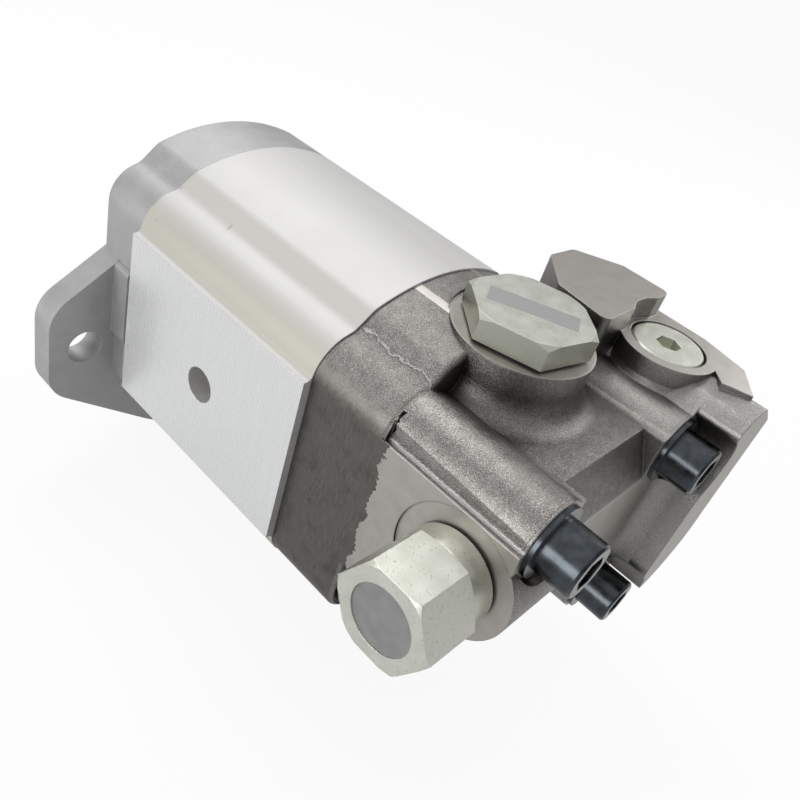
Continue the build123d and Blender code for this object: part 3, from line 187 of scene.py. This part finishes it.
class Shader:
    """A material's node tree, with short calls for the nodes used here."""

    def __init__(self, name, metallic):
        self.material = bpy.data.materials.new(name)
        self.material.use_nodes = True
        self.tree = self.material.node_tree
        self.surface = self.tree.nodes["Principled BSDF"]
        self.surface.inputs["Metallic"].default_value = metallic
        self.place = self.add("ShaderNodeTexCoord").outputs["Object"]
        self.place_on = self.parts(self.place)
        self.normal_on = self.parts(self.add("ShaderNodeNewGeometry").outputs["Normal"])
        self.softened = None

    def add(self, kind, **settings):
        node = self.tree.nodes.new(kind)
        for key, value in settings.items():
            setattr(node, key, value)
        return node

    def feed(self, socket, value):
        if isinstance(value, bpy.types.NodeSocket):
            self.tree.links.new(value, socket)
        else:
            socket.default_value = value

    def parts(self, vector):
        node = self.add("ShaderNodeSeparateXYZ")
        self.feed(node.inputs[0], vector)
        return node.outputs

    def math(self, operation, first, second=0.0):
        node = self.add("ShaderNodeMath", operation=operation)
        self.feed(node.inputs[0], first)
        self.feed(node.inputs[1], second)
        return node.outputs[0]

    def plus(self, first, second):
        return self.math("ADD", first, second)

    def minus(self, first, second):
        return self.math("SUBTRACT", first, second)

    def times(self, first, second):
        return self.math("MULTIPLY", first, second)

    def larger(self, first, second):
        return self.math("MAXIMUM", first, second)

    def above(self, value, limit):
        return self.math("GREATER_THAN", value, limit)

    def below(self, value, limit):
        return self.math("LESS_THAN", value, limit)

    def unsigned(self, value):
        return self.math("ABSOLUTE", value)

    def opposite(self, value):
        return self.times(value, -1.0)

    def without(self, mask):
        return self.minus(1.0, mask)

    def spread(self, value, low, high, to_low=0.0, to_high=1.0):
        node = self.add("ShaderNodeMapRange", clamp=True)
        self.feed(node.inputs["Value"], value)
        node.inputs["From Min"].default_value = low
        node.inputs["From Max"].default_value = high
        self.feed(node.inputs["To Min"], to_low)
        self.feed(node.inputs["To Max"], to_high)
        return node.outputs["Result"]

    def vary(self, noise, low=0.0, high=1.0):
        """A noise stretched over the range from low to high."""
        return self.spread(noise, NOISE_LOW, NOISE_HIGH, low, high)

    def mix(self, data_type, sockets, amount, first, second):
        first_input, second_input, result = sockets
        node = self.add("ShaderNodeMix", data_type=data_type)
        self.feed(node.inputs["Factor"], amount)
        self.feed(node.inputs[first_input], first)
        self.feed(node.inputs[second_input], second)
        return node.outputs[result]

    def blend(self, amount, first, second):
        return self.mix("RGBA", MIX_COLOURS, amount, first, second)

    def between(self, amount, first, second):
        return self.mix("FLOAT", MIX_FLOATS, amount, first, second)

    def mottled(self, noise, first, second):
        return self.blend(self.vary(noise), first, second)

    def stretched(self, scale):
        node = self.add("ShaderNodeMapping")
        self.feed(node.inputs["Vector"], self.place)
        node.inputs["Scale"].default_value = scale
        return node.outputs["Vector"]

    def noise(self, scale, detail=3.0, roughness=0.5, vector=None):
        node = self.add("ShaderNodeTexNoise")
        self.feed(node.inputs["Vector"], vector or self.place)
        node.inputs["Scale"].default_value = scale
        node.inputs["Detail"].default_value = detail
        node.inputs["Roughness"].default_value = roughness
        return node.outputs["Fac"]

    def cells(self, scale, vector):
        node = self.add("ShaderNodeTexVoronoi")
        self.feed(node.inputs["Vector"], vector)
        node.inputs["Scale"].default_value = scale
        return node.outputs["Distance"]

    def soften_edges(self, radius):
        node = self.add("ShaderNodeBevel", samples=4)
        node.inputs["Radius"].default_value = radius
        self.softened = node.outputs["Normal"]

    def bump(self, height, distance, strength=1.0):
        node = self.add("ShaderNodeBump")
        self.feed(node.inputs["Height"], height)
        node.inputs["Distance"].default_value = distance
        self.feed(node.inputs["Strength"], strength)
        if self.softened is not None:
            self.feed(node.inputs["Normal"], self.softened)
        return node.outputs["Normal"]

    def openness(self, reach):
        """1 where the surface lies open, less in its hollows."""
        node = self.add("ShaderNodeAmbientOcclusion", samples=6)
        node.inputs["Distance"].default_value = reach
        return node.outputs["AO"]

    def within(self, index, low, high):
        return self.times(self.above(self.place_on[index], low), self.below(self.place_on[index], high))

    def near_plane(self, index, level, tolerance=0.3 * MM, straight=0.97):
        """1 on a face that lies in the plane where the axis has this level."""
        gap = self.unsigned(self.minus(self.place_on[index], level))
        facing = self.unsigned(self.normal_on[index])
        return self.times(self.below(gap, tolerance), self.above(facing, straight))

    def finish(self, colour, roughness, normal):
        self.feed(self.surface.inputs["Base Color"], colour)
        self.feed(self.surface.inputs["Roughness"], roughness)
        self.feed(self.surface.inputs["Normal"], normal)
        return self.material


def die_cast_aluminium():
    s = Shader("die_cast_aluminium", 0.7)
    s.soften_edges(0.7 * MM)
    cloud = s.noise(110.0, 5.0, 0.6)
    grain = s.noise(2200.0, 2.0, 0.7)
    machined = s.larger(s.near_plane(Y, MOUNTING_FACE_Y), s.near_plane(Y, PILOT_Y))
    base = s.mottled(cloud, grey(0.38), grey(0.46))
    speckled = s.blend(s.vary(grain, 0.0, 0.35), base, grey(0.66))
    colour = s.blend(machined, speckled, s.mottled(cloud, grey(0.62), grey(0.68)))
    roughness = s.between(machined, s.vary(cloud, 0.50, 0.58), 0.34)
    strength = s.minus(0.6, s.times(machined, 0.5))
    return s.finish(colour, roughness, s.bump(grain, 0.12 * MM, strength))


def extruded_aluminium():
    """Milky along the profile, brushed on the two flats, with a few nicks near the front, and a painted
    reflection: a darker yellow-grey band where the profile faces left.
    """
    s = Shader("extruded_aluminium", 0.5)
    s.soften_edges(0.3 * MM)
    flat = s.larger(s.near_plane(X, -FLAT_X), s.near_plane(X, FLAT_X))
    lines = s.noise(1500.0, 2.0, vector=s.stretched((1.0, 0.02, 1.0)))
    bands = s.noise(120.0, 3.0, vector=s.stretched((1.0, 0.05, 1.0)))
    brushed = s.noise(1300.0, 3.0, vector=s.stretched((1.0, 1.0, 0.03)))
    cloud = s.noise(40.0, 4.0)

    milky = s.mottled(bands, grey(0.61, 0.01), grey(0.65, 0.01))
    # Painted reflection: a darker yellow-grey band where the profile turns to face left.
    reflection_band = s.spread(s.opposite(s.normal_on[X]), 0.45, 0.8)
    milky_with_reflection = s.blend(reflection_band, milky, tone(0.57, 0.552, 0.495))

    front = s.times(s.within(Y, NICKED_TO_Y, MOUNTING_FACE_Y), s.within(X, -FLAT_X, NICKED_TO_X))
    dashes = s.cells(260.0, s.stretched((0.3, 1.0, 0.5)))
    nicks = s.times(front, s.below(dashes, s.spread(cloud, 0.42, 0.64, 0.0, 0.17)))
    nicked = s.blend(s.times(nicks, 0.4), milky_with_reflection, grey(0.30))

    ground = s.mottled(brushed, grey(0.83, -0.01), grey(0.86, -0.01))
    colour = s.blend(flat, nicked, ground)
    milky_rough = s.spread(s.plus(bands, cloud), 0.7, 1.3, 0.57, 0.65)
    roughness = s.between(flat, milky_rough, s.vary(brushed, 0.24, 0.30))
    height = s.minus(s.between(flat, lines, brushed), s.times(nicks, 3.0))
    return s.finish(colour, roughness, s.bump(height, 0.03 * MM, 0.35))


def iron_faces(s, wander):
    """Masks of the rear cover's ground faces and of its milled ones."""
    edge = s.plus(s.place_on[Y], s.vary(wander, -2.0 * MM, 2.0 * MM))
    behind = s.below(edge, MILLED_FROM_Y)
    shoulder = s.times(s.within(X, -FAR, GROUND_TO_X), s.within(Y, CRACK_Y, MOUNTING_FACE_Y))
    shoulder = s.times(shoulder, s.spread(s.opposite(s.normal_on[X]), 0.75, 0.98))
    left_face = s.near_plane(X, LEFT_FACE_X)
    ground = s.times(s.larger(shoulder, left_face), s.without(behind))
    milled = s.times(left_face, behind)
    right = s.above(s.place_on[X], TOPS_MILLED_FROM_X)
    for level in (COLUMN_TOP_Z, PAD_TOP_Z):
        milled = s.larger(s.times(s.near_plane(Z, level), right), milled)
    planes = ((Z, BLOCK_TOP_Z), (Z, PLUG_SEAT_Z), (X, SPOTFACE_X), (Y, LEFT_END_Y), (Y, RIGHT_END_Y))
    for index, level in planes:
        milled = s.larger(s.near_plane(index, level), milled)
    return ground, milled


def iron_skin(s, lumps, grain):
    """The cast skin with its dark and silver speckle, and painted light that makes it lighter towards
    the right side.
    """
    skin = s.mottled(lumps, tone(0.22, 0.208, 0.195), tone(0.30, 0.288, 0.273))
    # Painted light: the skin turns lighter towards the right side.
    right_side_painted_light = s.spread(s.place_on[X], 15.0 * MM, 40.0 * MM, 0.0, 0.8)
    skin = s.blend(right_side_painted_light, skin, tone(0.39, 0.378, 0.36))
    coarse = s.spread(s.place_on[X], -25.0 * MM, 15.0 * MM, 0.6, 0.4)
    dark_grain = s.times(s.spread(grain, 0.5, 0.34), coarse)
    bright_grain = s.times(s.spread(grain, 0.52, 0.66), coarse)
    shaded = s.blend(dark_grain, skin, tone(0.10, 0.093, 0.085))
    return s.blend(bright_grain, shaded, tone(0.62, 0.61, 0.6))


def iron_crack(s, lumps, wander):
    """A dark line that wanders along the step behind the plate."""
    crack_at = s.plus(s.place_on[Y], s.vary(lumps, -0.7 * MM, 0.7 * MM))
    gap = s.unsigned(s.minus(crack_at, CRACK_Y))
    crack = s.below(gap, s.spread(wander, 0.4, 0.6, 0.15 * MM, 0.8 * MM))
    return s.times(s.times(crack, s.within(X, *CRACK_X)), s.within(Z, *CRACK_Z))


def iron_flash(s, wander):
    """The line that the two halves of the mould left on top of the plate."""
    flash_at = s.plus(s.place_on[X], s.vary(wander, -1.5 * MM, 1.5 * MM))
    gap = s.unsigned(s.minus(flash_at, FLASH_X))
    flash = s.times(s.spread(gap, 0.7 * MM, 0.2 * MM), s.within(Y, CRACK_Y, FLASH_TO_Y))
    return s.times(flash, s.above(s.place_on[Z], FLASH_FROM_Z))


def cast_iron():
    s = Shader("cast_iron", 1.0)
    s.soften_edges(0.8 * MM)
    wander = s.noise(160.0, 4.0, 0.65)
    lumps = s.noise(300.0, 2.0)
    grain = s.noise(2900.0, 2.0, 0.6)
    scratches = s.noise(3600.0, 2.0, vector=s.stretched((1.0, 1.0, 0.05)))
    ground, milled = iron_faces(s, wander)
    smooth = s.larger(milled, ground)

    cast = s.blend(iron_crack(s, lumps, wander), iron_skin(s, lumps, grain), grey(0.01))
    flash = iron_flash(s, wander)
    # Painted highlight: a light strip along the ledge behind the plate, joined with the flash line's
    # own lighter colour.
    ledge = s.times(s.within(X, -FAR, LEDGE_X), s.within(Z, *LEDGE_Z))
    flash_and_ledge_highlight = s.larger(flash, s.times(ledge, s.within(Y, -FAR, CRACK_Y)))
    cast = s.blend(s.times(flash_and_ledge_highlight, 0.6), cast, tone(0.66, 0.65, 0.64))

    pale = s.mottled(wander, tone(0.45, 0.427, 0.40), tone(0.52, 0.495, 0.463))
    dark = s.mottled(scratches, tone(0.115, 0.107, 0.097), tone(0.19, 0.18, 0.168))
    blotched = s.blend(s.spread(wander, 0.5, 0.7, 0.0, 0.6), dark, tone(0.09, 0.085, 0.085))
    clean = s.blend(ground, s.blend(milled, cast, pale), blotched)

    # Painted shade: the cast skin darkens in hollows and recesses, as found by ambient occlusion, less
    # so towards the right side and not at all on ground or milled faces.
    deepest_hollow_shade = s.spread(s.place_on[X], 5.0 * MM, 30.0 * MM, 0.95, 0.5)
    hollow_shade = s.spread(s.openness(26.0 * MM), 0.45, 0.88, deepest_hollow_shade, 0.0)
    colour = s.blend(s.times(hollow_shade, s.without(smooth)), clean, tone(0.035, 0.03, 0.026))

    matt = s.times(s.within(Y, CRACK_Y, MOUNTING_FACE_Y), 0.2)
    roughness = s.between(smooth, s.plus(s.vary(grain, 0.28, 0.40), matt), 0.42)
    cast_height = s.plus(s.plus(grain, lumps), s.times(flash, 6.0))
    height = s.between(ground, cast_height, scratches)
    strength = s.minus(1.0, s.times(smooth, 0.85))
    return s.finish(colour, roughness, s.bump(height, 0.13 * MM, strength))


def zinc_steel():
    """Pale plating, with painted shade that makes the hexagon plug's sides and chamfer darker than its
    top.
    """
    s = Shader("zinc_steel", 1.0)
    s.soften_edges(0.25 * MM)
    cloud = s.noise(180.0, 4.0)
    pits = s.spread(s.noise(1100.0, 2.0), 0.62, 0.72)
    scratches = s.noise(1200.0, 2.0, vector=s.stretched((1.0, 1.0, 0.1)))
    high = s.above(s.place_on[Z], PLUG_SEAT_Z)
    level = s.unsigned(s.normal_on[Z])
    shaded_sides = s.times(high, s.below(level, 0.3))
    shaded_slopes = s.times(high, s.below(level, 0.97))
    plated = s.mottled(cloud, tone(0.72, 0.735, 0.65), tone(0.79, 0.795, 0.72))
    # Painted shade: the plug's chamfer and sides are darkened by the way their faces turn.
    plated = s.blend(shaded_slopes, plated, tone(0.50, 0.51, 0.45))
    plated = s.blend(shaded_sides, plated, tone(0.46, 0.47, 0.405))
    colour = s.blend(s.times(pits, 0.5), plated, tone(0.35, 0.35, 0.27))
    chamfer = s.minus(shaded_slopes, shaded_sides)
    roughness = s.plus(s.vary(cloud, 0.30, 0.40), s.times(chamfer, 0.35))
    return s.finish(colour, roughness, s.bump(s.minus(scratches, pits), 0.04 * MM, 0.4))


def black_steel():
    """Black oxide, worn on the faces that look back."""
    s = Shader("black_steel", 1.0)
    s.soften_edges(0.3 * MM)
    cloud = s.noise(300.0, 3.0)
    worn = s.spread(s.opposite(s.normal_on[Y]), 0.9, 0.99)
    oxide = s.mottled(cloud, tone(0.055, 0.063, 0.07), tone(0.09, 0.10, 0.11))
    colour = s.blend(s.times(worn, 0.35), oxide, grey(0.45))
    return s.finish(colour, s.vary(cloud, 0.20, 0.30), s.bump(s.noise(2500.0), 0.03 * MM, 0.3))


def ground_steel():
    s = Shader("ground_steel", 1.0)
    turned = s.noise(2500.0, 2.0, vector=s.stretched((0.02, 1.0, 0.02)))
    colour = s.mottled(turned, grey(0.52), grey(0.60))
    return s.finish(colour, s.vary(turned, 0.24, 0.32), s.bump(turned, 0.01 * MM, 0.15))


def seal_rubber():
    s = Shader("seal_rubber", 0.0)
    cloud = s.noise(400.0, 3.0)
    return s.finish(s.blend(cloud, grey(0.010), grey(0.025)), 0.55, s.bump(cloud, 0.03 * MM, 0.3))


def cap_plastic():
    s = Shader("cap_plastic", 0.0)
    colour = s.mottled(s.noise(200.0, 3.0), grey(0.22), grey(0.28))
    return s.finish(colour, 0.45, s.bump(s.noise(400.0), 0.08 * MM, 0.3))


def label_foil():
    s = Shader("label_foil", 0.9)
    fibre = s.noise(1500.0, 2.0, vector=s.stretched((0.1, 1.0, 1.0)))
    return s.finish(s.blend(fibre, grey(0.44), grey(0.52)), 0.42, s.bump(fibre, 0.02 * MM, 0.3))


def plain_metal(name, low, high, rough):
    s = Shader(name, 1.0)
    cloud = s.noise(300.0, 3.0)
    return s.finish(s.blend(cloud, low, high), rough, s.bump(s.noise(1500.0), 0.02 * MM, 0.3))


def plain_plastic(name, low, high, rough):
    s = Shader(name, 0.0)
    cloud = s.noise(300.0, 3.0)
    return s.finish(s.blend(cloud, low, high), rough, s.bump(cloud, 0.02 * MM, 0.3))


MATERIALS = {
    "die_cast_aluminium": die_cast_aluminium(),
    "extruded_aluminium": extruded_aluminium(),
    "cast_iron": cast_iron(),
    "ground_steel": ground_steel(),
    "bearing_alloy": plain_metal("bearing_alloy", grey(0.55), grey(0.68), 0.35),
    "bush_bronze": plain_metal("bush_bronze", tone(0.45, 0.32, 0.18), tone(0.55, 0.42, 0.25), 0.35),
    "seal_rubber": seal_rubber(),
    "backup_plastic": plain_plastic("backup_plastic", grey(0.7, 0.04), grey(0.78, 0.04), 0.5),
    "black_steel": black_steel(),
    "zinc_steel": zinc_steel(),
    "spring_steel": plain_metal("spring_steel", grey(0.35), grey(0.45), 0.3),
    "cap_plastic": cap_plastic(),
    "label_foil": label_foil(),
}


def dress_nodes():
    slots = {entry["node"]: entry["material_slot"] for entry in frame["record"]["subparts"]}
    for name, obj in frame["nodes"].items():
        obj.data.materials.clear()
        obj.data.materials.append(MATERIALS[slots[name]])


def seen_share(tree, glossy):
    """1 for rays from the camera and through glass, and this share for reflected rays."""
    path = tree.nodes.new("ShaderNodeLightPath")
    scaled = tree.nodes.new("ShaderNodeMath")
    scaled.operation = "MULTIPLY"
    scaled.inputs[1].default_value = glossy
    tree.links.new(path.outputs["Is Glossy Ray"], scaled.inputs[0])
    share = scaled.outputs[0]
    for ray in ("Is Camera Ray", "Is Transmission Ray"):
        larger = tree.nodes.new("ShaderNodeMath")
        larger.operation = "MAXIMUM"
        tree.links.new(share, larger.inputs[0])
        tree.links.new(path.outputs[ray], larger.inputs[1])
        share = larger.outputs[0]
    return share


def floor_material():
    """A pale floor that turns white for the camera and keeps the object's shadow."""
    material = bpy.data.materials.new("floor_white")
    material.use_nodes = True
    tree = material.node_tree
    surface = tree.nodes["Principled BSDF"]
    lit, seen, result = MIX_COLOURS
    paint = tree.nodes.new("ShaderNodeMix")
    paint.data_type = "RGBA"
    paint.inputs[lit].default_value = grey(FLOOR_LIT_TONE)
    paint.inputs[seen].default_value = grey(FLOOR_SEEN_TONE)
    tree.links.new(seen_share(tree, 0.0), paint.inputs["Factor"])
    tree.links.new(paint.outputs[result], surface.inputs["Base Color"])
    surface.inputs["Roughness"].default_value = 0.9
    glow = tree.nodes.new("ShaderNodeEmission")
    glow.inputs["Color"].default_value = grey(1.0)
    part = tree.nodes.new("ShaderNodeMath")
    part.operation = "MULTIPLY"
    part.inputs[1].default_value = FLOOR_WHITE_SHARE
    tree.links.new(seen_share(tree, FLOOR_GLOSSY_SHARE), part.inputs[0])
    mix = tree.nodes.new("ShaderNodeMixShader")
    tree.links.new(part.outputs[0], mix.inputs[0])
    tree.links.new(surface.outputs[0], mix.inputs[1])
    tree.links.new(glow.outputs[0], mix.inputs[2])
    tree.links.new(mix.outputs[0], tree.nodes["Material Output"].inputs["Surface"])
    return material


def add_floor():
    bpy.ops.mesh.primitive_plane_add(size=FLOOR_SIZE, location=(0, 0, cad_box[0][Z] - FLOOR_GAP))
    floor = bpy.context.object
    floor.name = "floor"
    floor.data.materials.append(floor_material())


def add_world():
    """A sky that is dim at the horizon and brighter overhead, and white for the camera."""
    world = bpy.data.worlds.new("studio")
    world.use_nodes = True
    tree = world.node_tree
    direction = tree.nodes.new("ShaderNodeTexCoord")
    parts = tree.nodes.new("ShaderNodeSeparateXYZ")
    tree.links.new(direction.outputs["Generated"], parts.inputs[0])
    height = tree.nodes.new("ShaderNodeMapRange")
    height.inputs["From Max"].default_value = SKY_HIGH_AT
    height.inputs["To Min"].default_value = SKY_LOW
    height.inputs["To Max"].default_value = SKY_HIGH
    tree.links.new(parts.outputs["Z"], height.inputs["Value"])
    lit, seen, result = MIX_FLOATS
    strength = tree.nodes.new("ShaderNodeMix")
    strength.data_type = "FLOAT"
    tree.links.new(seen_share(tree, 0.0), strength.inputs["Factor"])
    tree.links.new(height.outputs["Result"], strength.inputs[lit])
    strength.inputs[seen].default_value = 1.0
    background = tree.nodes["Background"]
    background.inputs["Color"].default_value = grey(1.0)
    tree.links.new(strength.outputs[result], background.inputs["Strength"])
    bpy.context.scene.world = world


def add_label():
    """A bare foil label on top of the spool plug's head, in line with its hexagon."""
    low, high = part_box("spool_plug")
    middle = Vector(((low[X] + high[X]) / 2, (low[Y] + high[Y]) / 2, PLUG_HEAD_TOP_Z))
    bpy.ops.mesh.primitive_cube_add(size=1.0)
    label = bpy.context.object
    label.name = "plug_label"
    label.data.transform(Matrix.Diagonal((LABEL_LENGTH, LABEL_WIDTH, LABEL_THICKNESS, 1.0)))
    label.data.transform(Matrix.Rotation(math.radians(LABEL_TURN), 4, "Z"))
    label.data.transform(Matrix.Translation(middle + Vector((0.0, 0.0, LABEL_THICKNESS / 2))))
    label.data.materials.append(MATERIALS["label_foil"])
    rounded = label.modifiers.new("rounded", "BEVEL")
    rounded.width = LABEL_CORNER
    rounded.segments = 3
    rounded.limit_method = "ANGLE"
    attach(label, "pump_body")


def add_spring(node, joint, travel):
    """A copy of the spring in place of its node, fixed to the pump body."""
    spring = bpy.data.objects.new(node + "_coil", frame["nodes"][node].data.copy())
    spring.matrix_world = frame["nodes"][node].matrix_world
    bpy.context.collection.objects.link(spring)
    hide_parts(node)
    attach(spring, "pump_body")
    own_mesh(spring)


bpy.context.scene.view_settings.view_transform = "Standard"
add_camera()
add_world()
for lamp in LAMPS:
    add_lamp(*lamp)
add_floor()
dress_nodes()
add_label()
for spring in SPRINGS:
    add_spring(*spring)
